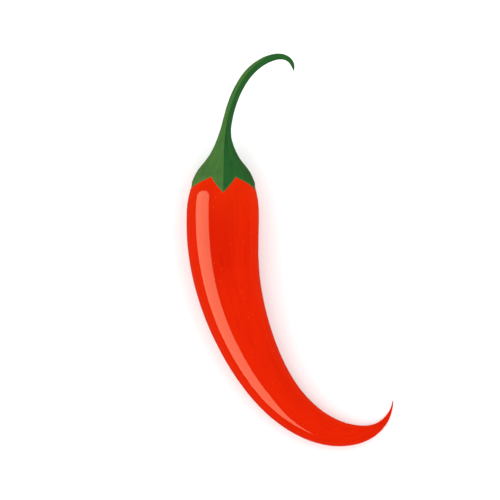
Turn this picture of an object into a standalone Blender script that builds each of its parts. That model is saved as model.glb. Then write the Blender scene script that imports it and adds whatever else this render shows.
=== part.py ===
"""A red chilli pepper lying on its side, with its green calyx and curled stalk.

The pod and the stalk grew along one centreline, a smooth curve when it is seen from above. Each is a
UV sphere whose rows of points are laid out as upright rings along that line: the pod is a long tapering
sphere, and the stalk is one that is pushed in at its lower end, to make the toothed calyx that caps the
pod's shoulder. Blender units are metres, +Z is up, and the sizes below are in millimetres and degrees.
The origin is on the surface, under the middle of the whole chilli, and the stalk is at the +Y end.
"""

import math

import bmesh
import bpy
import numpy as np

MM = 0.001

# The centreline's control points, from the stalk's tip, round its curl, and down to the pod's tip.
CENTRELINE = (
    (1.0, 54.3), (1.1, 57.2), (-2.3, 60.6), (-13.8, 55.2), (-20.4, 38.5), (-20.1, 20.9), (-21.0, 0.5),
    (-18.0, -16.5), (-10.9, -34.2), (-1.1, -48.4), (12.9, -57.1), (27.7, -56.1), (31.2, -49.0), (31.4, -45.8),
)
CURVE_STEPS = 32  # steps between two control points, where the curve is read
STALK_LENGTH = 45.0  # along the centreline, from the stalk's tip to the top of the pod's shoulder

# The pod: a rounded shoulder as far as its widest place, and then a long taper.
POD_RADIUS = 11.0
SHOULDER_LENGTH = 17.5
POD_TAPER = (  # (distance below the top of the shoulder, radius)
    (SHOULDER_LENGTH, POD_RADIUS), (24, 10.9), (32, 10.4), (49, 9.1), (70, 7.2), (87, 5.45), (96, 4.3),
    (104.5, 2.85), (113, 1.05), (120.8, 0.15),
)
PRESSED = 0.02  # share of the radius by which the skin is pressed flat along the line where it lies
POD_ROWS = 60
POD_SIDES = 36

# The stalk and calyx. Distances are counted as on the pod, so those above its shoulder are negative.
STALK_OUTLINE = (  # (distance, radius)
    (-STALK_LENGTH, 0.08), (-44.4, 0.2), (-43, 0.56), (-40.5, 0.72), (-33, 1.1), (-28, 1.2), (-14, 1.2),
    (-10, 1.3), (-6.5, 1.75), (-3, 2.9), (0.5, 4.8), (2.4, 6.4), (4.3, 7.95), (6.6, 9.3), (9.8, 10.5),
    (11.5, 10.9),
)
CALYX_RIM = (  # (angle from the top, distance) of each tooth's tip and of the notch after it
    (0, 10.9), (26, 6.2), (80, 9.9), (113, 6.3), (146, 10.4), (180, 6.0), (214, 10.2), (247, 6.4),
    (280, 9.9), (334, 6.2), (360, 10.9),
)
SIDES_PER_EDGE = 4  # columns of faces along one edge of a tooth
KEEL = 0.3  # height of the ridge that runs from each tooth's tip up into the stalk
KEEL_ON_STALK = 0.12
LYING_HEIGHT = POD_RADIUS * (1 - PRESSED)
STALK_LIFT = ((-STALK_LENGTH, 13.5), (-22, 13.0), (0, 11.1), (SHOULDER_LENGTH, LYING_HEIGHT))
STALK_ROWS = 25
CALYX_ROWS = 13
CUP_ROWS = 9
CLOSER_AT_TIP = 1.4  # power that gathers the stalk's rows towards its tip
CLOSER_IN_CUP = 1.5  # and those inside the calyx towards the middle of its cup
NECK = -10.0  # where the stalk begins to flare into the calyx
GAP = 0.3  # between the calyx and the pod's shoulder
SHARP_ANGLE = 50


def smooth(stations, x):
    """The value at x on a smooth curve through (x, value) stations, level at both ends, with no overshoot."""
    xs, values = np.array(stations, float).T
    steps = np.diff(values) / np.diff(xs)
    slopes = np.zeros(len(xs))
    for i in range(1, len(xs) - 1):
        if steps[i - 1] * steps[i] > 0:
            slopes[i] = 2 / (1 / steps[i - 1] + 1 / steps[i])
    i = int(np.clip(np.searchsorted(xs, x) - 1, 0, len(steps) - 1))
    width = xs[i + 1] - xs[i]
    t = min(max((x - xs[i]) / width, 0.0), 1.0)
    start = (2 * t**3 - 3 * t**2 + 1) * values[i] + (t**3 - 2 * t**2 + t) * width * slopes[i]
    end = (3 * t**2 - 2 * t**3) * values[i + 1] + (t**3 - t**2) * width * slopes[i + 1]
    return start + end


def shoulder_radius(distance, clearance=0.0):
    """The shoulder is a quarter of an ellipse. With a clearance, it is the hollow that fits round it."""
    length = SHOULDER_LENGTH + clearance
    share = 1 - (distance + clearance) / length
    return (POD_RADIUS + clearance) * math.sqrt(max(0.0, 1 - share * share))


def pod_radius(distance):
    if distance < SHOULDER_LENGTH:
        return shoulder_radius(distance)
    return smooth(POD_TAPER, distance)


def lift(distance):
    """Height of the centreline: the pod lies along its underside, and the stalk is held up by the pod."""
    if distance < SHOULDER_LENGTH:
        return smooth(STALK_LIFT, distance)
    return pod_radius(distance) * (1 - PRESSED)


class Centreline:
    """The centreline as a curve object, and its place and direction at any distance along it."""

    def __init__(self, collection):
        curve = bpy.data.curves.new("centreline", "CURVE")
        curve.dimensions = "3D"
        curve.resolution_u = CURVE_STEPS
        spline = curve.splines.new("NURBS")
        spline.points.add(len(CENTRELINE) - 1)
        for point, (x, y) in zip(spline.points, CENTRELINE):
            point.co = (x * MM, y * MM, 0, 1)
        spline.order_u = 4
        spline.use_endpoint_u = True
        guide = bpy.data.objects.new("centreline", curve)
        guide.hide_render = True
        guide.display_type = "WIRE"
        collection.objects.link(guide)
        graph = bpy.context.evaluated_depsgraph_get()
        line = bpy.data.meshes.new_from_object(guide.evaluated_get(graph))
        self.points = np.array([vertex.co[:2] for vertex in line.vertices]) / MM
        bpy.data.meshes.remove(line)
        steps = np.linalg.norm(np.diff(self.points, axis=0), axis=1)
        self.distances = np.concatenate([[0], np.cumsum(steps)]) - STALK_LENGTH
        slopes = np.gradient(self.points, axis=0)
        self.directions = slopes / np.linalg.norm(slopes, axis=1)[:, None]
        self.end = self.distances[-1]

    def ring_point(self, distance, radius, angle):
        """A point on the upright ring round the line. The angle turns from the top to the curve's outer side."""
        x, y = (np.interp(distance, self.distances, column) for column in self.points.T)
        along_x, along_y = (np.interp(distance, self.distances, column) for column in self.directions.T)
        outwards = radius * math.sin(angle)
        height = lift(distance) + radius * math.cos(angle)
        return (
            (x + outwards * along_y) * MM,
            (y - outwards * along_x) * MM,
            max(height, 0.0) * MM,
        )


def grown_form(name, rows, sides, place, material, collection):
    """A UV sphere whose rows run from one end of the form to the other: place(row, side) gives each point."""
    bm = bmesh.new()
    bmesh.ops.create_uvsphere(bm, u_segments=sides, v_segments=rows, radius=1)
    for vertex in bm.verts:
        down, round_it = math.acos(max(-1.0, min(1.0, vertex.co.z))), math.atan2(vertex.co.x, vertex.co.y)
        vertex.co = place(round(down / math.pi * rows), round(round_it / math.tau * sides) % sides)
    mesh = bpy.data.meshes.new(name)
    bm.to_mesh(mesh)
    bm.free()
    mesh.materials.append(material)
    mesh.shade_smooth()
    mesh.set_sharp_from_angle(angle=math.radians(SHARP_ANGLE))
    form = bpy.data.objects.new(name, mesh)
    collection.objects.link(form)
    return form


def make_pod(line, material, collection):
    def place(row, side):
        distance = line.end * (1 - math.cos(math.pi * row / POD_ROWS)) / 2
        radius = 0.0 if row in (0, POD_ROWS) else pod_radius(distance)
        return line.ring_point(distance, radius, math.tau * side / POD_SIDES)

    return grown_form("pod", POD_ROWS, POD_SIDES, place, material, collection)


def make_stalk(line, material, collection):
    """The rows go down the stalk and the outside of the calyx, round its rim, and up the inside of its cup."""
    edges = len(CALYX_RIM) - 1
    angles, depths = np.array(CALYX_RIM, float).T
    rim_row = STALK_ROWS + CALYX_ROWS
    rows = rim_row + CUP_ROWS

    def place(row, side):
        edge = side / SIDES_PER_EDGE
        angle = math.radians(np.interp(edge, range(edges + 1), angles))
        rim = np.interp(edge, range(edges + 1), depths)
        on_keel = abs(1 - edge % 2)  # 1 at a tooth's middle, 0 at a notch
        if row == 0:
            return line.ring_point(-STALK_LENGTH, 0.0, 0.0)
        if row <= STALK_ROWS:
            share = (row / STALK_ROWS) ** CLOSER_AT_TIP
            distance = (NECK + STALK_LENGTH) * share - STALK_LENGTH
            radius = smooth(STALK_OUTLINE, distance) + KEEL_ON_STALK * share * on_keel
        elif row <= rim_row:
            share = (row - STALK_ROWS) / CALYX_ROWS
            distance = NECK + (rim - NECK) * share
            keel = KEEL_ON_STALK + (KEEL - KEEL_ON_STALK) * math.sin(math.pi * share)
            radius = smooth(STALK_OUTLINE, distance) + keel * on_keel
        else:
            share = (rows - row) / (CUP_ROWS - 1)
            distance = (rim + GAP) * share**CLOSER_IN_CUP - GAP
            radius = shoulder_radius(distance, GAP)
        return line.ring_point(distance, radius, angle)

    return grown_form("stalk", rows, edges * SIDES_PER_EDGE, place, material, collection)


def finish(name, colour, roughness):
    material = bpy.data.materials.new(name)
    material.use_nodes = True
    material.diffuse_color = (*colour, 1)
    shader = material.node_tree.nodes["Principled BSDF"]
    shader.inputs["Base Color"].default_value = (*colour, 1)
    shader.inputs["Roughness"].default_value = roughness
    shader.inputs["Metallic"].default_value = 0.0
    return material


def new_collection(name):
    collection = bpy.data.collections.new(name)
    bpy.context.scene.collection.children.link(collection)
    return collection


def main():
    for old in list(bpy.data.objects):
        bpy.data.objects.remove(old, do_unlink=True)
    chilli = new_collection("chilli_pepper")
    line = Centreline(new_collection("guides"))
    make_pod(line, finish("ripe_red_skin", (0.79, 0.019, 0.002), 0.25), chilli)
    make_stalk(line, finish("green_stalk", (0.045, 0.15, 0.035), 0.55), chilli)


main()
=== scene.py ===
# %% [markdown]
# # A ripe red chilli, lying on its side
#
# A chilli has only two parts: the glossy red pod, and the green stalk that flares into a toothed cap, the
# calyx, on the pod's shoulder. This lesson grows both of them along curves with Geometry Nodes, gives
# each a skin that is painted by nodes, and lays the chilli on a white table under soft studio light.
#
# The frame comes first. It is the plain solid model of the same chilli, and everything that follows is
# measured from it, so the finished chilli has its size and its bends.

# %% Load the frame and keep its box
import math

import bmesh
import bpy
import numpy as np
from mathutils import Matrix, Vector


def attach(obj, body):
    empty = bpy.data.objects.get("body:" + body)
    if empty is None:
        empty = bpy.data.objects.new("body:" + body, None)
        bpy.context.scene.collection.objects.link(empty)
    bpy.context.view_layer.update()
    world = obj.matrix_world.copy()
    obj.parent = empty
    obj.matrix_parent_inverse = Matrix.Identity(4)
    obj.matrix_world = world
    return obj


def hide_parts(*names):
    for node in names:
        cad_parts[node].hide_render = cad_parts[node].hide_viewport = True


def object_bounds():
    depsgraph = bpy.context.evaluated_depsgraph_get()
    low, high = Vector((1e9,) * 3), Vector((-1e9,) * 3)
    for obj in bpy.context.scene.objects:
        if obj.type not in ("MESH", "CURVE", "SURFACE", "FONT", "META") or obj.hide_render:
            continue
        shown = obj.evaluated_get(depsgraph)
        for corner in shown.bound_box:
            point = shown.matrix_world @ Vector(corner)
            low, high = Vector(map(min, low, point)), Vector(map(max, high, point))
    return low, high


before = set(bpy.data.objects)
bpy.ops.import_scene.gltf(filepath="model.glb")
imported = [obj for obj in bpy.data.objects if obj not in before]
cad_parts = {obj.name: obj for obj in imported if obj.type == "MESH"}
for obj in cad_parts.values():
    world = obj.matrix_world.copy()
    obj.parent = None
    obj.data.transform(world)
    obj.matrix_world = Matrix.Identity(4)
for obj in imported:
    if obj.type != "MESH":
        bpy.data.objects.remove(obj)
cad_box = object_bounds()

MM = 0.001
BODY = "root"

lowest, highest = cad_box
chilli_size = highest - lowest
print("the chilli is", " x ".join(f"{side / MM:.1f}" for side in chilli_size), "mm")

# %% [markdown]
# ## Node trees that read like sums
#
# Geometry Nodes and shaders are both trees of small steps. They could be joined up socket by socket, but
# arithmetic soon gets lost in that. So one small class wraps a node's output, and an ordinary sum of such
# values adds the Math nodes, or Vector Math nodes where a vector takes part. Any other node comes from
# `node`, which takes its type, its settings, and the values or links of its sockets.

# %% Values and trees
class Value:
    """One output of a node, which can be used in sums."""

    def __init__(self, tree, socket):
        self.tree = tree
        self.socket = socket

    def output(self, name):
        """Another output of the same node."""
        return Value(self.tree, self.socket.node.outputs[name])

    def __add__(self, other):
        return self.tree.sum("ADD", self, other)

    def __radd__(self, other):
        return self.tree.sum("ADD", other, self)

    def __sub__(self, other):
        return self.tree.sum("SUBTRACT", self, other)

    def __rsub__(self, other):
        return self.tree.sum("SUBTRACT", other, self)

    def __mul__(self, other):
        return self.tree.sum("MULTIPLY", self, other)

    def __rmul__(self, other):
        return self.tree.sum("MULTIPLY", other, self)

    def __truediv__(self, other):
        return self.tree.sum("DIVIDE", self, other)

    def __pow__(self, other):
        return self.tree.sum("POWER", self, other)


def is_vector(value):
    return isinstance(value, Value) and value.socket.type == "VECTOR"


class Tree:
    """A node tree, of a material or of Geometry Nodes, that is written as sums."""

    def __init__(self, data):
        self.data = data

    def node(self, kind, settings=None, sockets=None, output=0):
        """Adds a node, and gives one of its outputs."""
        made = self.data.nodes.new(kind)
        for name, setting in (settings or {}).items():
            if name == "points":
                self.set_points(made.mapping, setting)
            else:
                setattr(made, name, setting)
        for name, value in (sockets or {}).items():
            self.feed(made, name, value)
        return None if output is None else Value(self, made.outputs[output])

    def feed(self, made, name, value):
        """Links or sets one socket, which is named by its identifier, its name or its number."""
        known = {socket.identifier: socket for socket in made.inputs}
        socket = known[name] if name in known else made.inputs[name]
        if isinstance(value, Value):
            self.data.links.new(value.socket, socket)
        elif socket.type == "VECTOR" and isinstance(value, (int, float)):
            socket.default_value = (value, value, value)
        else:
            socket.default_value = value

    def set_points(self, mapping, points):
        """Draws the curve of a Float Curve node through some points."""
        curve = mapping.curves[0]
        while len(curve.points) < len(points):
            curve.points.new(1.0, 1.0)
        for point, place in zip(curve.points, points):
            point.location = place
        mapping.update()

    def sum(self, operation, first, second):
        """One step of a sum. It is a vector's step if either side is a vector."""
        has_vector = any(isinstance(value, tuple) or is_vector(value) for value in (first, second))
        kind = "ShaderNodeVectorMath" if has_vector else "ShaderNodeMath"
        return self.node(kind, {"operation": operation}, {0: first, 1: second})

    def math(self, operation, *values):
        """A Math node for what has no sign of its own, such as SINE."""
        return self.node("ShaderNodeMath", {"operation": operation}, dict(enumerate(values)))

    def between(self, value, low, high, smooth=True):
        """Runs from 0 to 1 as the value goes from low to high."""
        kind = "SMOOTHSTEP" if smooth else "LINEAR"
        sockets = {"Value": value, "From Min": low, "From Max": high}
        return self.node("ShaderNodeMapRange", {"interpolation_type": kind}, sockets)

    def vector(self, x=0.0, y=0.0, z=0.0):
        return self.node("ShaderNodeCombineXYZ", {}, {"X": x, "Y": y, "Z": z})

    def parts(self, vector):
        """The three components of a vector."""
        split = self.node("ShaderNodeSeparateXYZ", {}, {"Vector": vector})
        return split, split.output("Y"), split.output("Z")


print("a tree adds nodes, and a Value is one output of a node")

# %% [markdown]
# ## Measure the frame
#
# The pod and the stalk of the frame are each a sphere that was drawn out along a curve, so their points
# lie in rows from one pole to the other. A mesh from a CAD file is loose triangles: a copy is merged
# first. Then the rows are found by walking from a pole, one edge further each time. The flat strip on
# which the pod lies is left out, because its points were pressed out of their rings. What remains of a
# row is still most of a ring, and the circle that fits it best has its centre on the centreline.

# %% Walk the rows of a solid
MERGE_DISTANCE = 0.001 * MM
LYING_HEIGHT = 0.005 * MM


def merged(node):
    """A copy of a frame solid whose triangles share their corners."""
    form = bmesh.new()
    form.from_mesh(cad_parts[node].data)
    bmesh.ops.remove_doubles(form, verts=form.verts, dist=MERGE_DISTANCE)
    return form


def upper_pole(form):
    """Of the two points where most edges meet, the one at the stalk's end."""
    standing = [vertex for vertex in form.verts if vertex.co.z > LYING_HEIGHT]
    busiest = sorted(standing, key=lambda vertex: -len(vertex.link_edges))[:2]
    return max(busiest, key=lambda vertex: vertex.co.y)


def rows_of(node):
    """The rows of points of a frame solid from its upper pole, each as an array of places."""
    form = merged(node)
    pole = upper_pole(form)
    rows = []
    seen = {pole}
    row = [pole]
    while row:
        rows.append(np.array([vertex.co for vertex in row]))
        following = []
        for vertex in row:
            for edge in vertex.link_edges:
                other = edge.other_vert(vertex)
                if other not in seen and other.co.z > LYING_HEIGHT:
                    seen.add(other)
                    following.append(other)
        row = following
    form.free()
    return rows


pod_rows = rows_of("pod")
stalk_rows = rows_of("stalk")
print(len(pod_rows), "rows on the pod,", len(stalk_rows), "on the stalk")

# %% [markdown]
# ## The centreline, and how thick the chilli is along it
#
# Three things are read from the rows: the pod's centreline with its radius, the stalk's with its own, and
# the pattern of teeth round the calyx's rim. The slim rows belong to the stalk proper, and the rows after
# them to the calyx, whose teeth reach down unevenly, so those give no centre. The stalk's line is led on
# in a smooth bend to the top of the pod, and the calyx is measured from that.

# %% Fit a circle to each row
SLIM = 1.5 * MM
FLATNESS = 0.001  # a row's points lie in a plane to within this share


def ring_of(row):
    """The centre and the radius of the circle that fits a row best."""
    mean = row.mean(axis=0)
    spokes = (row - mean) / MM
    sums = np.column_stack([2 * spokes, np.ones(len(row))])
    fit = np.linalg.lstsq(sums, (spokes ** 2).sum(axis=1), rcond=FLATNESS)[0]
    return mean + fit[:3] * MM, math.sqrt(max(fit[3] + fit[:3] @ fit[:3], 0.0)) * MM


def line_of(rows):
    """The centreline through the rows, and its radii."""
    rings = [ring_of(row) for row in rows]
    return np.array([centre for centre, radius in rings]), np.array([radius for centre, radius in rings])


def along(places):
    """The distance along a line of places, from its start."""
    steps = np.linalg.norm(np.diff(places, axis=0), axis=1)
    return np.concatenate([[0], np.cumsum(steps)])


def at_stations(line, stations):
    """The places at some distances along a line."""
    return np.array([np.interp(stations, along(line), column) for column in line.T]).T


pod_line, pod_radii = line_of(pod_rows)
pod_length = along(pod_line)[-1]
calyx_start = next(i for i, row in enumerate(stalk_rows) if ring_of(row)[1] > SLIM)
slim_line, slim_radii = line_of(stalk_rows[:calyx_start])
neck = along(slim_line)[-1]
print(f"the pod is {pod_length / MM:.1f} mm long and {2 * pod_radii.max() / MM:.1f} mm thick")

# %% Lead the stalk's line on to the pod
BEND_POINTS = 8
STALK_REACH = 2  # rows over which the stalk's own direction is taken
POD_REACH = 6  # and rows for the pod's


def direction(start, end):
    return (end - start) / np.linalg.norm(end - start)


def bend_between(line, next_line):
    """Places on a smooth bend from the end of one line to the start of the next."""
    start, end = line[-1], next_line[0]
    reach = np.linalg.norm(end - start)
    leaving = direction(line[-1 - STALK_REACH], start) * reach
    arriving = direction(end, next_line[POD_REACH]) * reach
    t = np.linspace(0, 1, BEND_POINTS + 2)[1:-1, None]
    ease = t * t * (3 - 2 * t)
    return start * (1 - ease) + end * ease + leaving * t * (1 - t) ** 2 - arriving * t * t * (1 - t)


stalk_line = np.vstack([slim_line, bend_between(slim_line, pod_line), pod_line])
pod_top = along(stalk_line)[len(stalk_line) - len(pod_line)]
print(f"the stalk is {pod_top / MM:.1f} mm long, and its neck is at {neck / MM:.1f} mm")

# %% Unroll the calyx from the line
FINE_STEP = 0.02 * MM
ROWS_ABOVE = 2  # slim rows that are unrolled with the calyx


def unrolled(points, line):
    """For each point its distance along the line, its distance from it, and its angle from the top."""
    stations = np.arange(0, along(line)[-1], FINE_STEP)
    centres = at_stations(line, stations)
    ahead = np.gradient(centres[:, :2], axis=0)
    ahead /= np.linalg.norm(ahead, axis=1)[:, None]
    found = []
    for point in points:
        nearest = np.linalg.norm(centres[:, :2] - point[:2], axis=1).argmin()
        x, y, up = point - centres[nearest]
        outwards = x * ahead[nearest][1] - y * ahead[nearest][0]
        found.append((stations[nearest], math.hypot(outwards, up), math.atan2(outwards, up) % math.tau))
    return np.array(found)


calyx_rows = [unrolled(row, stalk_line) for row in stalk_rows[calyx_start - ROWS_ABOVE:-1]]
rim_number = max(range(len(calyx_rows)), key=lambda i: calyx_rows[i][:, 0].mean())
outside = np.vstack(calyx_rows[:rim_number + 1])
rim = sorted(calyx_rows[rim_number].tolist(), key=lambda point: point[2])


def is_corner(i):
    """True where the rim turns back: at the tip of a tooth, or in a notch."""
    before, here, after = (rim[(i + step) % len(rim)][0] for step in (-1, 0, 1))
    return (here - before) * (after - here) < 0


corners = [(angle, depth) for i, (depth, radius, angle) in enumerate(rim) if is_corner(i)]
corners = [(math.remainder(angle, math.tau), depth) for angle, depth in corners]
front = min(range(len(corners)), key=lambda i: abs(corners[i][0]))
corners = [((angle - corners[front][0]) % math.tau, depth) for angle, depth in corners]
rim_pattern = sorted(corners) + [(math.tau, corners[front][1])]
depths = [f"{depth / MM:.1f}" for angle, depth in rim_pattern]
print(len(corners) // 2, "teeth, with tips and notches at", ", ".join(depths), "mm")

# %% How thick the green is along the line
STATION_STEP = 1.0 * MM
PAST_RIM = 3.0 * MM  # how far the radius is led on past the longest tooth
FEWEST = 3  # points that are enough for a slope


def calyx_radius(station):
    """The radius near a station, without the ribs that stand on it."""
    near = outside[np.abs(outside[:, 0] - station) < STATION_STEP]
    if len(near) < FEWEST:
        return outside[:, 1].max()
    slope = np.polyfit(near[:, 0], near[:, 1], 1)
    ribs = near[:, 1] - np.polyval(slope, near[:, 0])
    return np.polyval(slope, station) + ribs.min()


calyx_stations = np.arange(neck + STATION_STEP, outside[:, 0].max() + PAST_RIM, STATION_STEP)
stalk_places = np.vstack([slim_line, at_stations(stalk_line, calyx_stations)])
stalk_radii = np.concatenate([slim_radii, [calyx_radius(station) for station in calyx_stations]])
print("the green is", [f"{radius / MM:.1f}" for radius in stalk_radii[::6]], "mm in radius along the stalk")

# %% [markdown]
# ## Guides
#
# A guide is a curve that only Geometry Nodes see. A NURBS curve is a good one: it is smooth in its bends
# and in its radius even where its points are close together, and it passes very near to them. The pattern
# of the rim is a guide too, drawn flat: x is the angle round the calyx, and y is how far down it reaches.

# %% Draw the guides
ORDER = 4


def draw_guide(name, places, radii=None, kind="NURBS"):
    curve = bpy.data.curves.new(name, "CURVE")
    curve.dimensions = "3D"
    spline = curve.splines.new(kind)
    spline.points.add(len(places) - 1)
    for i, (point, place) in enumerate(zip(spline.points, places)):
        point.co = (*place, 1)
        if radii is not None:
            point.radius = radii[i]
    if kind == "NURBS":
        spline.order_u = ORDER
        spline.use_endpoint_u = True
    guide = bpy.data.objects.new(name, curve)
    bpy.context.scene.collection.objects.link(guide)
    return guide


pod_guide = draw_guide("pod_guide", pod_line, pod_radii)
stalk_guide = draw_guide("stalk_guide", stalk_places, stalk_radii)
rim_guide = draw_guide("rim_guide", [(angle, distance, 0) for angle, distance in rim_pattern], kind="POLY")
print("drew", pod_guide.name, stalk_guide.name, rim_guide.name)

# %% [markdown]
# ## Growing a form along a guide
#
# A fruit grows as a sphere does that is drawn out: it is closed at both ends, and round all the way. So
# both forms start as a UV sphere, whose rows become upright rings on the guide. What follows is shared by
# both trees: reading the guide at a distance, placing a point on its ring, and turning the result into a
# plain mesh that needs no modifier.

# %% What both trees share
def new_tree(name, inputs):
    """An empty Geometry Nodes tree with named inputs, each a (socket type, default) pair."""
    data = bpy.data.node_groups.new(name, "GeometryNodeTree")
    data.is_modifier = True
    data.interface.new_socket("Geometry", in_out="OUTPUT", socket_type="NodeSocketGeometry")
    for label, (kind, default) in inputs.items():
        socket = data.interface.new_socket(label, in_out="INPUT", socket_type=f"NodeSocket{kind}")
        if default is not None:
            socket.default_value = default
    tree = Tree(data)
    given = tree.node("NodeGroupInput")
    return tree, {label: given.output(label) for label in inputs}


def read_guide(tree, guide, distance):
    """The guide's radius, place and direction at a distance along it."""
    shape = tree.node("GeometryNodeObjectInfo", {}, {"Object": guide}, "Geometry")
    radius = tree.node("GeometryNodeInputRadius")
    settings = {"mode": "LENGTH", "data_type": "FLOAT", "use_all_curves": False}
    sockets = {"Curves": shape, "Value": radius, "Length": distance}
    reading = tree.node("GeometryNodeSampleCurve", settings, sockets, "Value")
    return reading, reading.output("Position"), reading.output("Tangent")


def ring_place(tree, centre, ahead, radius, angle):
    """A place on the upright ring round a centre, kept above the table it lies on."""
    crossed = tree.node("ShaderNodeVectorMath", {"operation": "CROSS_PRODUCT"}, {0: ahead, 1: (0, 0, 1)})
    side = tree.node("ShaderNodeVectorMath", {"operation": "NORMALIZE"}, {0: crossed})
    outwards = radius * tree.math("SINE", angle)
    upwards = tree.vector(z=radius * tree.math("COSINE", angle))
    x, y, z = tree.parts(centre + side * outwards + upwards)
    return tree.vector(x, y, tree.math("MAXIMUM", z, 0.0))


def store(tree, geometry, name, value, kind="FLOAT"):
    settings = {"data_type": kind, "domain": "POINT"}
    sockets = {"Geometry": geometry, "Name": name, "Value": value}
    return tree.node("GeometryNodeStoreNamedAttribute", settings, sockets)


def end_tree(tree, geometry, material):
    real = tree.node("GeometryNodeRealizeInstances", {}, {"Geometry": geometry})
    smooth = tree.node("GeometryNodeSetShadeSmooth", {}, {"Geometry": real})
    coated = tree.node("GeometryNodeSetMaterial", {}, {"Geometry": smooth, "Material": material})
    tree.node("NodeGroupOutput", {}, {"Geometry": coated}, None)


def grow(name, tree, **inputs):
    """Runs a tree on an empty object, and keeps the plain mesh that it makes."""
    piece = bpy.data.objects.new(name, bpy.data.meshes.new(name))
    bpy.context.scene.collection.objects.link(piece)
    modifier = piece.modifiers.new("grow", "NODES")
    modifier.node_group = tree.data
    for item in tree.data.interface.items_tree:
        label = item.name.lower().replace(" ", "_")
        if item.in_out == "INPUT" and label in inputs:
            modifier[item.identifier] = inputs[label]
    graph = bpy.context.evaluated_depsgraph_get()
    grown = piece.evaluated_get(graph)
    mesh = bpy.data.meshes.new_from_object(grown, preserve_all_data_layers=True, depsgraph=graph)
    piece.modifiers.remove(modifier)
    mesh.materials.clear()
    mesh.materials.append(inputs["skin"])
    mesh.polygons.foreach_set("material_index", [0] * len(mesh.polygons))
    piece.data = mesh
    mesh.name = name
    print(name, "has", len(mesh.polygons), "faces")
    return piece


print("a form is grown by running its tree, and kept as a plain mesh")

# %% [markdown]
# ## The pod
#
# The pod could be a tube with a bevel, but a tube has no rounded shoulder and its rings pinch on the
# inside of a tight bend. Here the sphere's height gives the distance along the guide, with its rows
# closest at the ends, where the pod is most curved, and the guide gives the radius. A real pod is never
# quite round: it has a few long, shallow furrows where the walls of its chambers meet the skin, and a
# slow waviness. Both are drawn as a small share of the radius, and fade out under the calyx, which sits
# tight on the shoulder. Each point also keeps its place on the straightened pod, so that the skin's
# pattern can follow the bends. It is stored before the points are moved, because a field is read anew at
# every step, from where the points are.

# %% The tree that grows the pod
WAVE_SHAPE = (1.0, 1.0, 0.3)  # the waves are longer down the pod than across it
SHOULDERS = 3  # how many times the shoulder's length it takes for the furrows to be full

pod_tree, given = new_tree("grow_pod", {
    "Guide": ("Object", None), "Rows": ("Int", 300), "Sides": ("Int", 120), "Furrows": ("Int", 3),
    "Furrow Depth": ("Float", 0.006), "Waviness": ("Float", 0.03), "Wave Length": ("Float", 0.02),
    "Shoulder": ("Float", 0.012), "Seed": ("Int", 4), "Skin": ("Material", None),
})
sockets = {"Segments": given["Sides"], "Rings": given["Rows"], "Radius": 1.0}
ball = pod_tree.node("GeometryNodeMeshUVSphere", {}, sockets, "Mesh")
x, y, z = pod_tree.parts(pod_tree.node("GeometryNodeInputPosition"))
shape = pod_tree.node("GeometryNodeObjectInfo", {}, {"Object": given["Guide"]}, "Geometry")
length = pod_tree.node("GeometryNodeCurveLength", {}, {"Curve": shape})
distance = length * (1 - z) / 2
angle = pod_tree.math("ARCTAN2", x, y)
radius, centre, ahead = read_guide(pod_tree, given["Guide"], distance)

sine, cosine = pod_tree.math("SINE", angle), pod_tree.math("COSINE", angle)
straight = pod_tree.vector(radius * sine, radius * cosine, distance)
open_skin = pod_tree.between(distance, given["Shoulder"], given["Shoulder"] * SHOULDERS)
turn = angle * given["Furrows"] + distance / (given["Wave Length"] * 2)
furrows = given["Furrow Depth"] * pod_tree.math("COSINE", turn)
lengthened = straight * WAVE_SHAPE / given["Wave Length"]
sockets = {"Vector": lengthened, "W": given["Seed"], "Scale": 1.0, "Detail": 1.0}
waves = pod_tree.node("ShaderNodeTexNoise", {"noise_dimensions": "4D"}, sockets)
swelling = 1 + (furrows + given["Waviness"] * (waves - 0.5)) * open_skin
place = ring_place(pod_tree, centre, ahead, radius * swelling, angle)
kept = store(pod_tree, ball, "straight", straight, "FLOAT_VECTOR")
grown = pod_tree.node("GeometryNodeSetPosition", {}, {"Geometry": kept, "Position": place})
end_tree(pod_tree, grown, given["Skin"])

waxy_red = bpy.data.materials.new("waxy_red")
pod = grow("chilli_pod", pod_tree, guide=pod_guide, skin=waxy_red)

# %% [markdown]
# ## The stalk and its calyx
#
# The calyx is the flared foot of the stalk. It could be a separate cap, but on the plant there is no seam
# between the two, so one sphere makes both: its first rows go down the stalk from the tip, the next ones
# down the outside of the calyx to its toothed rim, then over the rim's edge, and back up the inside,
# where it hugs the pod. Columns of points run along the ribs, from the curl down to the tip of each
# tooth, and the guide of the rim says at which angle a column stands and how far down it reaches.

# %% The inputs of the stalk's tree, and where its points are in rows and columns
COLUMNS_PER_EDGE = 12
EDGES = len(rim_pattern) - 1
ROWS = {"Stalk Rows": 150, "Calyx Rows": 70, "Edge Rows": 6, "Cup Rows": 26}

stalk_inputs = {label: ("Int", count) for label, count in ROWS.items()}
stalk_inputs |= {
    "Guide": ("Object", None), "Pod": ("Object", None), "Rim": ("Object", None),
    "Columns": ("Int", COLUMNS_PER_EDGE), "Edges": ("Int", EDGES),
    "Neck": ("Float", 0.03), "Pod Top": ("Float", 0.04), "Settling": ("Float", 0.3 * MM),
    "Rib On Stalk": ("Float", 0.1 * MM), "Rib On Calyx": ("Float", 0.42 * MM),
    "Fine Ribs": ("Float", 0.05 * MM), "Edge": ("Float", 0.3 * MM), "Sunk": ("Float", 0.012),
    "Thinning": ("Float", 2.4 * MM), "Rim Thickness": ("Float", 0.1 * MM),
    "Unevenness": ("Float", 0.12 * MM), "Seed": ("Int", 7), "Skin": ("Material", None),
}
stalk_tree, given = new_tree("grow_stalk", stalk_inputs)

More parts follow.
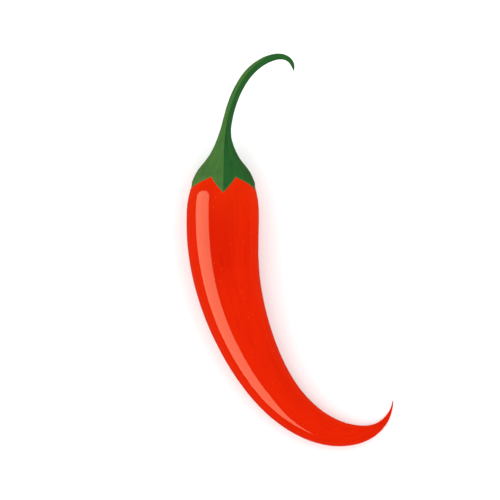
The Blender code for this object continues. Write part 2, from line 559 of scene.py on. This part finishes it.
columns = given["Columns"] * given["Edges"]
rows = sum((given[label] for label in list(ROWS)[1:]), given["Stalk Rows"])
sockets = {"Segments": columns, "Rings": rows, "Radius": 1.0}
ball = stalk_tree.node("GeometryNodeMeshUVSphere", {}, sockets, "Mesh")
x, y, z = stalk_tree.parts(stalk_tree.node("GeometryNodeInputPosition"))
height = stalk_tree.node("ShaderNodeClamp", {}, {"Value": z, "Min": -1.0, "Max": 1.0})
row = stalk_tree.math("ROUND", stalk_tree.math("ARCCOSINE", height) / math.pi * rows)
turned = stalk_tree.math("ARCTAN2", x, y) / math.tau * columns
column = stalk_tree.math("FLOORED_MODULO", stalk_tree.math("ROUND", turned), columns)

shares = {}
start = 0.0
for label in ROWS:
    shares[label] = stalk_tree.between(row, start, start + given[label], smooth=False)
    start = start + given[label]
print("the rows are shared out over", ", ".join(ROWS))

# %% Where each column stands, and how far down it reaches
rim_shape = stalk_tree.node("GeometryNodeObjectInfo", {}, {"Object": given["Rim"]}, "Geometry")
sockets = {"Curve": rim_shape, "Cuts": given["Columns"] - 1}
finer_rim = stalk_tree.node("GeometryNodeSubdivideCurve", {}, sockets)
settings = {"data_type": "FLOAT_VECTOR", "domain": "POINT"}
sockets = {"Geometry": finer_rim, "Value": stalk_tree.node("GeometryNodeInputPosition"), "Index": column}
rim_place = stalk_tree.node("GeometryNodeSampleIndex", settings, sockets)
rim_angle, rim_depth = stalk_tree.parts(rim_place)[:2]
on_rib = stalk_tree.math("ABSOLUTE", 1 - stalk_tree.math("MODULO", column / given["Columns"], 2.0))
print("the calyx has", EDGES * COLUMNS_PER_EDGE, "columns of points")

# %% [markdown]
# The stalk turned as it grew, so its ribs wind a third of the way round it towards the curl. A Float
# Curve holds that: across it runs the share of the way from the tip to the neck, and up it the turn,
# where 1 is half a turn.

# %% The way of each row, and the twist
TWIST = ((0.0, 0.66), (0.22, 0.45), (0.3, 0.26), (0.39, 0.13), (0.5, 0.07), (0.7, 0.04), (1.0, 0.01))
CLOSER_AT_TIP = 1.3
CLOSER_IN_CUP = 1.5

on_stalk, on_calyx = shares["Stalk Rows"], shares["Calyx Rows"]
outer_end = rim_depth - given["Edge"]
way = given["Neck"] * on_stalk ** CLOSER_AT_TIP + (outer_end - given["Neck"]) * on_calyx
quarter = shares["Edge Rows"] * (math.pi / 2)
up_cup = 1 - (1 - shares["Cup Rows"]) ** CLOSER_IN_CUP
distance = way + given["Edge"] * stalk_tree.math("SINE", quarter) - (rim_depth - given["Pod Top"]) * up_cup

wound = stalk_tree.node("ShaderNodeFloatCurve", {"points": TWIST}, {"Value": way / given["Neck"]})
angle = rim_angle + wound * math.pi
print(f"the stalk is wound by {TWIST[0][1] * 180:.0f} degrees at its tip")

# %% Ribs, edge and inside of the calyx
FIBRES_PER_EDGE = 2
NOISE_LENGTH = 6 * MM
RIB_SHARPNESS = 2

green_here = read_guide(stalk_tree, given["Guide"], way)[0]
pod_here = read_guide(stalk_tree, given["Pod"], distance - given["Pod Top"])[0]
tucked_in = given["Settling"] * stalk_tree.between(way, given["Neck"], given["Pod Top"])
rib = given["Rib On Stalk"] * on_stalk * (1 - on_calyx)
rib = rib + given["Rib On Calyx"] * stalk_tree.math("SINE", on_calyx * math.pi)
fine = stalk_tree.math("COSINE", column / given["Columns"] * (math.tau * FIBRES_PER_EDGE))
around = stalk_tree.vector(stalk_tree.math("SINE", rim_angle), stalk_tree.math("COSINE", rim_angle))
patches = around + stalk_tree.vector(z=distance / NOISE_LENGTH)
sockets = {"Vector": patches, "W": given["Seed"], "Scale": 2.0, "Detail": 2.0}
rough = stalk_tree.node("ShaderNodeTexNoise", {"noise_dimensions": "4D"}, sockets) - 0.5
fine_relief = given["Fine Ribs"] * fine + given["Unevenness"] * rough
relief = rib * on_rib ** RIB_SHARPNESS + fine_relief * on_stalk
inner = pod_here * (1 - given["Sunk"])
thin_rim = pod_here + given["Rim Thickness"]
away = stalk_tree.between(rim_depth - distance, given["Edge"], given["Thinning"])
outer = thin_rim + (green_here - tucked_in + relief - thin_rim) * away
radius = inner + (outer - inner) * stalk_tree.math("COSINE", quarter)
print("the tree of the stalk has", len(stalk_tree.data.nodes), "nodes so far")

# %% Grow the stalk
centre, ahead = read_guide(stalk_tree, given["Guide"], distance)[1:]
place = ring_place(stalk_tree, centre, ahead, radius, angle)
kept = store(stalk_tree, ball, "round", around + stalk_tree.vector(z=distance), "FLOAT_VECTOR")
kept = store(stalk_tree, kept, "rib", on_rib)
kept = store(stalk_tree, kept, "to_rim", rim_depth - distance)
grown = stalk_tree.node("GeometryNodeSetPosition", {}, {"Geometry": kept, "Position": place})
end_tree(stalk_tree, grown, given["Skin"])

matt_green = bpy.data.materials.new("matt_green")
stalk = grow(
    "stalk_and_calyx", stalk_tree, guide=stalk_guide, pod=pod_guide, rim=rim_guide,
    neck=neck, pod_top=pod_top, skin=matt_green,
)

# %% [markdown]
# ## A skin painted by nodes
#
# Both skins are patterns in the material, not pictures. They read the attributes that the trees stored,
# so a streak runs along the chilli round every bend. What is the same all over, such as the gloss of the
# wax, is set on the shader itself. Only the colour, the roughness, the wax's share and the fine relief
# change.

# %% Helpers for the skins
def start_skin(material, constants):
    """An empty tree for a material, and its shader with the values that are the same all over."""
    material.use_nodes = True
    shader = material.node_tree.nodes["Principled BSDF"]
    for name, value in constants.items():
        shader.inputs[name].default_value = value
    return Tree(material.node_tree), shader


def stored(tree, name, output="Vector"):
    settings = {"attribute_type": "GEOMETRY", "attribute_name": name}
    return tree.node("ShaderNodeAttribute", settings, {}, output)


def noise(tree, place, size, detail=2.0, roughness=0.5):
    """Cloudy noise whose patches have a size, in metres, along each axis."""
    sockets = {"Vector": place / size, "Scale": 1.0, "Detail": detail, "Roughness": roughness}
    return tree.node("ShaderNodeTexNoise", {}, sockets)


def mix(tree, share, first, second):
    """A colour that goes from the first to the second as the share goes from 0 to 1."""
    colours = [colour if isinstance(colour, Value) else (*colour, 1) for colour in (first, second)]
    sockets = {"Factor_Float": share, "A_Color": colours[0], "B_Color": colours[1]}
    return tree.node("ShaderNodeMix", {"data_type": "RGBA"}, sockets, 2)


def bump(tree, height, depth):
    """Relief whose height, from 0 to 1, stands for a depth in metres."""
    return tree.node("ShaderNodeBump", {}, {"Height": height, "Distance": depth, "Strength": 1.0})


print("a skin is a tree that ends in a shader")

# %% [markdown]
# ## The pod's skin
#
# A ripe chilli is a clear, saturated red under a thin, smooth wax. The wax is the shader's coat: it gives
# the one crisp highlight, while the red under it has no gloss of its own and stays deep. Looked at
# closely the red is not even: it is a little deeper in long clouds and towards the tip, it has fine
# streaks along its length, and small pale dots where the skin breathes. The relief is finer than a hair:
# a pebbling of cells, the same streaks, and a shallow pit at each dot.

# %% Paint the pod
RED = (0.61, 0.0122, 0.0002)
DEEP_RED = (0.39, 0.004, 0.0002)
WARM_RED = (0.67, 0.027, 0.0006)
PALE_DOT = (0.70, 0.075, 0.012)
CLOUD_SIZE = (9 * MM, 9 * MM, 38 * MM)
STREAK_SIZE = (0.7 * MM, 0.7 * MM, 22 * MM)
CELL_SIZE = (0.22 * MM, 0.22 * MM, 0.3 * MM)
DOT_SPACING = 2.3 * MM
DOT = (0.05, 0.12)  # where a dot begins and ends to fade, in such spacings from its middle
TIP = (0.86, 1.0)  # the deeper tip, in shares of the pod's length
BY_CALYX = (6 * MM, 26 * MM)  # where the warmer red begins and ends to fade, down the pod
DEEPER = {"cloud": 0.35, "streak": 0.3, "tip": 0.12}  # the most that each adds of the deep red
WARMER = {"calyx": 0.3, "streak": 0.25}  # and of the warm one
PALER = 0.5
SKIN_RELIEF = 0.012 * MM

tree, shader = start_skin(waxy_red, {
    "IOR": 1.45, "Specular IOR Level": 0.0, "Coat Roughness": 0.06, "Coat IOR": 1.5,
})
straight = stored(tree, "straight")
down = tree.parts(straight)[2]
pod_share = down / pod_length

clouds = noise(tree, straight, CLOUD_SIZE)
streaks = noise(tree, straight, STREAK_SIZE, detail=3.0, roughness=0.6)
cells = noise(tree, straight, CELL_SIZE, detail=1.0)
sockets = {"Vector": straight / DOT_SPACING, "Scale": 1.0, "Randomness": 1.0}
dots = tree.node("ShaderNodeTexVoronoi", {"feature": "F1", "voronoi_dimensions": "3D"}, sockets)
dot = 1 - tree.between(dots, *DOT)

deep = tree.between(clouds, 0.42, 0.75) * DEEPER["cloud"]
deep = deep + tree.between(streaks, 0.5, 0.8) * DEEPER["streak"]
deep = deep + tree.between(pod_share, *TIP) * DEEPER["tip"]
colour = mix(tree, deep, RED, DEEP_RED)
near_calyx = 1 - tree.between(down, *BY_CALYX)
warm = near_calyx * WARMER["calyx"] + tree.between(streaks, 0.5, 0.2) * WARMER["streak"]
colour = mix(tree, warm, colour, WARM_RED)
colour = mix(tree, dot * PALER, colour, PALE_DOT)
tree.feed(shader, "Base Color", colour)
tree.feed(shader, "Roughness", 0.36 + 0.14 * streaks + 0.1 * dot)
tree.feed(shader, "Coat Weight", 1 - 0.35 * dot - 0.12 * tree.between(clouds, 0.55, 0.8))
relief = 0.35 * cells + 0.65 * streaks - 0.3 * dot
tree.feed(shader, "Normal", bump(tree, relief, SKIN_RELIEF))
print("the pod is painted with", len(waxy_red.node_tree.nodes), "nodes")

# %% [markdown]
# ## The green of the stalk
#
# The stalk and the calyx are matt, and two-toned in painted light and shade: one side is painted lighter
# and yellower, as if lit, and the other a deep green, as if in shade. They meet in a clean line along the
# front rib, and blend into each other at the back. Fine fibres run down the stalk, fan out over the calyx,
# and end in a thin paler edge. The very tip, where the stalk dried after it was picked, is a little darker.

# %% Paint the stalk
# painted light and shade: a shaded green and a lit green for the two sides of the stalk and the calyx
PAINTED_SHADE_GREEN = (0.0125, 0.090, 0.0155)
PAINTED_LIT_GREEN = (0.044, 0.136, 0.026)
FIBRE_GREEN = (0.085, 0.19, 0.050)
NIGHT_GREEN = (0.0085, 0.048, 0.010)
DRY_GREEN = (0.014, 0.054, 0.013)
FIBRE_SIZE = (0.10, 0.10, 16 * MM)  # across the stalk, in shares of its radius, and down it
MOTTLE_SIZE = (0.5, 0.5, 3.5 * MM)
GRAIN_SIZE = (0.05, 0.05, 0.35 * MM)
FRONT_BLEND, BACK_BLEND = 0.012, 0.6  # how softly the two greens meet
BACK = (-0.9, -0.2)  # where the back begins and ends to fade, from behind (-1) to the front (1)
FIBRE_SHARE, MOTTLE_SHARE, EDGE_SHARE = 0.30, 0.35, 0.25  # the most that each adds of its green
PALE_EDGE = (0.1 * MM, 0.9 * MM)  # where it begins and ends to fade, up from the rim
DRY_LENGTH, DRYNESS = 3 * MM, 0.7
FIBRE_RELIEF = 0.05 * MM

tree, shader = start_skin(matt_green, {"IOR": 1.4, "Specular IOR Level": 0.1})
place = stored(tree, "round")
# the first part of the stored place points towards the side that is painted as lit
towards_painted_light, frontward, down = tree.parts(place)
rib = stored(tree, "rib", "Fac")
to_rim = stored(tree, "to_rim", "Fac")

back = 1 - tree.between(frontward, *BACK)
blend = FRONT_BLEND + BACK_BLEND * back
fibres = noise(tree, place, FIBRE_SIZE, detail=3.0, roughness=0.6)
mottle = noise(tree, place, MOTTLE_SIZE, detail=3.0)
grain = noise(tree, place, GRAIN_SIZE)
# painted light and shade: one side of the stalk is painted in the lit green, the other in the shaded green
painted_lit_share = tree.between(towards_painted_light, 0 - blend, blend)
colour = mix(tree, painted_lit_share, PAINTED_SHADE_GREEN, PAINTED_LIT_GREEN)
colour = mix(tree, tree.between(fibres, 0.52, 0.8) * FIBRE_SHARE, colour, FIBRE_GREEN)
colour = mix(tree, tree.between(mottle, 0.45, 0.75) * MOTTLE_SHARE, colour, NIGHT_GREEN)
at_edge = 1 - tree.between(to_rim, *PALE_EDGE)
colour = mix(tree, at_edge * EDGE_SHARE, colour, FIBRE_GREEN)
at_tip = 1 - tree.between(down, 0.0, DRY_LENGTH)
colour = mix(tree, at_tip * DRYNESS, colour, DRY_GREEN)
tree.feed(shader, "Base Color", colour)
tree.feed(shader, "Roughness", 0.5 + 0.25 * grain - 0.08 * rib)
tree.feed(shader, "Normal", bump(tree, 0.6 * fibres + 0.4 * grain, FIBRE_RELIEF))
print("the stalk is painted with", len(matt_green.node_tree.nodes), "nodes")

# %% [markdown]
# ## The table, the camera and the light
#
# The chilli lies on a plain white table, and the camera looks straight down on it, from far enough away
# that it is drawn almost without perspective. The pod is shown by one highlight along its outer side, so
# there is one softbox, low on that side. A gloss shows everything around it, and a bright room would wash
# the red out. So the room lights the table fully but looks dim in the wax, and nothing hangs above the
# chilli.

# %% Lay the table
TABLE_RADIUS = 6.0
TABLE_SIDES = 96
TABLE_DROP = 0.02 * MM  # keeps the table clear of the pod's flattened underside
TABLE_WHITE = (0.95, 0.95, 0.95, 1)

bpy.ops.mesh.primitive_circle_add(
    vertices=TABLE_SIDES, radius=TABLE_RADIUS, fill_type="NGON", location=(0, 0, 0),
)
table = bpy.context.object
table.name = "table"
table.data.transform(Matrix.Translation((0, 0, -TABLE_DROP)))
white = bpy.data.materials.new("white_table")
start_skin(white, {"Roughness": 0.9, "Specular IOR Level": 0.0, "Base Color": TABLE_WHITE})
table.data.materials.append(white)
table.visible_glossy = False
print(f"the table is {2 * TABLE_RADIUS:.0f} m across")

# %% Set up the camera
PICTURE_SHARE = 0.7864  # the chilli's length, as a share of the picture's side
ASIDE, UPWARDS = -0.0806, 0.0006  # how far the picture's middle is from the chilli's, as such shares
LENS = 600.0
SENSOR = 36.0

picture_side = chilli_size[1] / PICTURE_SHARE
middle_height = chilli_size[2] / 2
camera = bpy.data.objects.new("camera", bpy.data.cameras.new("camera"))
bpy.context.scene.collection.objects.link(camera)
camera.data.lens = LENS
camera.data.sensor_width = SENSOR
centre = (lowest + highest) / 2
camera.location = (
    centre[0] + ASIDE * picture_side,
    centre[1] + UPWARDS * picture_side,
    middle_height + picture_side * LENS / SENSOR,
)
bpy.context.scene.camera = camera
print(f"the camera is {camera.location[2]:.2f} m above the table")

# %% [markdown]
# The shape of a highlight is the shape of the lamp. So the softbox is built from the highlight that it
# should give: a long band down the outer side of the pod, round at the calyx and pointed towards the tip.
# At each place of the band the pod's slope is found, the camera's straight look down is mirrored in it,
# and the softbox has a point in that direction. It shows in a gloss and nowhere else: the table and the
# camera don't see it, and it casts no shadow. Its lower edge reaches a little below the table, where no
# real lamp could stand, because the highlight runs that far down the pod's side.

# %% The softbox
UP = np.array([0.0, 0.0, 1.0])
HIGHLIGHT = (  # (mm below the pod's top, degrees from the vertical of its inner side, and of its outer)
    (10.6, 24, 49), (28, 22.5, 47), (53, 22, 45), (76, 18.5, 40.5), (92.2, 31.5, 31.7),
)
ROUND_END = 2.0  # mm
ROUNDNESS = 2.6  # 2 is an ellipse's end, and more is squarer
SLOPE_REACH = 3.0  # mm to each side, over which the slope is taken along the pod
TURN_REACH = 0.02  # and radians to each side, round it
CLOSER_AT_CALYX = 1.5  # power that gathers the softbox's points at the highlight's round end
SOFTBOX_DISTANCE = 0.47
SOFTBOX_LENGTHWISE = 90
SOFTBOX_ACROSS = 8
SOFTBOX_STRENGTH = 4.2
WARM_LIGHT = (1.0, 0.77, 0.46)


def on_pod(down, angle):
    """The place on the pod so many mm below its top, at an angle from the vertical to its outer side."""
    stations = np.array([down - SLOPE_REACH, down, down + SLOPE_REACH]) * MM
    before, middle, after = at_stations(pod_line, stations)
    side = np.cross(after - before, UP)
    side /= np.linalg.norm(side)
    radius = np.interp(down * MM, along(pod_line), pod_radii)
    return middle + radius * (math.sin(angle) * side + math.cos(angle) * UP)


def mirrored(down, angle):
    """A place on the pod, and the direction in which a look straight down is mirrored there."""
    lengthwise = on_pod(down + SLOPE_REACH, angle) - on_pod(down - SLOPE_REACH, angle)
    across = on_pod(down, angle + TURN_REACH) - on_pod(down, angle - TURN_REACH)
    normal = np.cross(across, lengthwise)
    normal /= np.linalg.norm(normal)
    return on_pod(down, angle), 2 * (normal @ UP) * normal - UP


def softbox_point(lengthwise, across):
    """The softbox's point for a place of the highlight: 0 to 1 along it, and -1 to 1 across it."""
    downs, inner, outer = np.array(HIGHLIGHT).T
    down = downs[0] + (downs[-1] - downs[0]) * lengthwise ** CLOSER_AT_CALYX
    low, high = np.radians([np.interp(down, downs, inner), np.interp(down, downs, outer)])
    rounding = max(0.0, 1 - (down - downs[0]) / ROUND_END)
    width = (high - low) / 2 * (1 - rounding ** ROUNDNESS) ** (1 / ROUNDNESS)
    place, ray = mirrored(down, (low + high) / 2 + across * width)
    return place + ray * SOFTBOX_DISTANCE


softbox_form = bmesh.new()
bmesh.ops.create_grid(softbox_form, x_segments=SOFTBOX_LENGTHWISE, y_segments=SOFTBOX_ACROSS, size=1)
for vertex in softbox_form.verts:
    vertex.co = softbox_point((vertex.co.x + 1) / 2, vertex.co.y)
softbox_mesh = bpy.data.meshes.new("softbox")
softbox_form.to_mesh(softbox_mesh)
softbox_form.free()
softbox = bpy.data.objects.new("softbox", softbox_mesh)
bpy.context.scene.collection.objects.link(softbox)
glow = bpy.data.materials.new("softbox_glow")
start_skin(glow, {
    "Base Color": (0, 0, 0, 1), "Specular IOR Level": 0.0,
    "Emission Color": (*WARM_LIGHT, 1), "Emission Strength": SOFTBOX_STRENGTH,
})
softbox_mesh.materials.append(glow)
softbox.visible_camera = softbox.visible_diffuse = softbox.visible_shadow = False
print("the softbox is", " x ".join(f"{side:.2f}" for side in softbox.dimensions), "m")

# %% [markdown]
# The room is a bright, even one, as in a studio with white walls, so shadows are faint. In the wax it is
# not mirrored like that: above the chilli it is nearly dark, and below there is the red that the pod
# itself throws on the table round it. That keeps the red clear as far as the pod's outline.

# %% The window and the room
WINDOW_SIZE = 0.9
WINDOW_DISTANCE = 0.9
WINDOW_RADIANCE = 0.22
WINDOW_AZIMUTH = 160
WINDOW_ELEVATION = 50
ROOM = 1.4
GLOSS_ABOVE = (0.01, 0.01, 0.01)
GLOSS_BELOW = (0.50, 0.06, 0.03)
HORIZON = (-0.25, 0.0)  # the heights between which the one goes over into the other


def towards(azimuth, elevation, distance):
    """A place at a distance from the middle of the chilli. The azimuth turns from +X towards +Y."""
    around, above = math.radians(azimuth), math.radians(elevation)
    level = math.cos(above)
    ray = np.array([level * math.cos(around), level * math.sin(around), math.sin(above)])
    return np.array(centre) + distance * ray


window = bpy.data.lights.new("window", "AREA")
window.size = WINDOW_SIZE
window.energy = WINDOW_RADIANCE * math.pi * WINDOW_SIZE ** 2
lamp = bpy.data.objects.new("window", window)
bpy.context.scene.collection.objects.link(lamp)
lamp.location = towards(WINDOW_AZIMUTH, WINDOW_ELEVATION, WINDOW_DISTANCE)
lamp.rotation_euler = (math.radians(90 - WINDOW_ELEVATION), 0, math.radians(WINDOW_AZIMUTH + 90))
lamp.visible_camera = lamp.visible_glossy = False

world = bpy.data.worlds.new("bright_room")
bpy.context.scene.world = world
world.use_nodes = True
tree = Tree(world.node_tree)
rays = tree.node("ShaderNodeLightPath")
seen, in_gloss = rays.output("Is Camera Ray"), rays.output("Is Glossy Ray")
height = tree.parts(tree.node("ShaderNodeTexCoord", {}, {}, "Generated"))[2]
colour = mix(tree, tree.between(height, *HORIZON), GLOSS_BELOW, GLOSS_ABOVE)
colour = mix(tree, in_gloss, (ROOM, ROOM, ROOM), colour)
colour = mix(tree, seen, colour, (1.0, 1.0, 1.0))
background = world.node_tree.nodes["Background"]
tree.feed(background, "Color", colour)
bpy.context.scene.view_settings.view_transform = "Standard"
print("one softbox, a window and a bright room")

# %% Join the pieces to the frame, hide the frame's solids and remove the guides
for piece, node, finish in ((pod, "pod", "red_skin"), (stalk, "stalk", "green_stalk")):
    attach(piece, BODY)
    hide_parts(node)

for guide in (pod_guide, stalk_guide, rim_guide):
    bpy.data.objects.remove(guide)
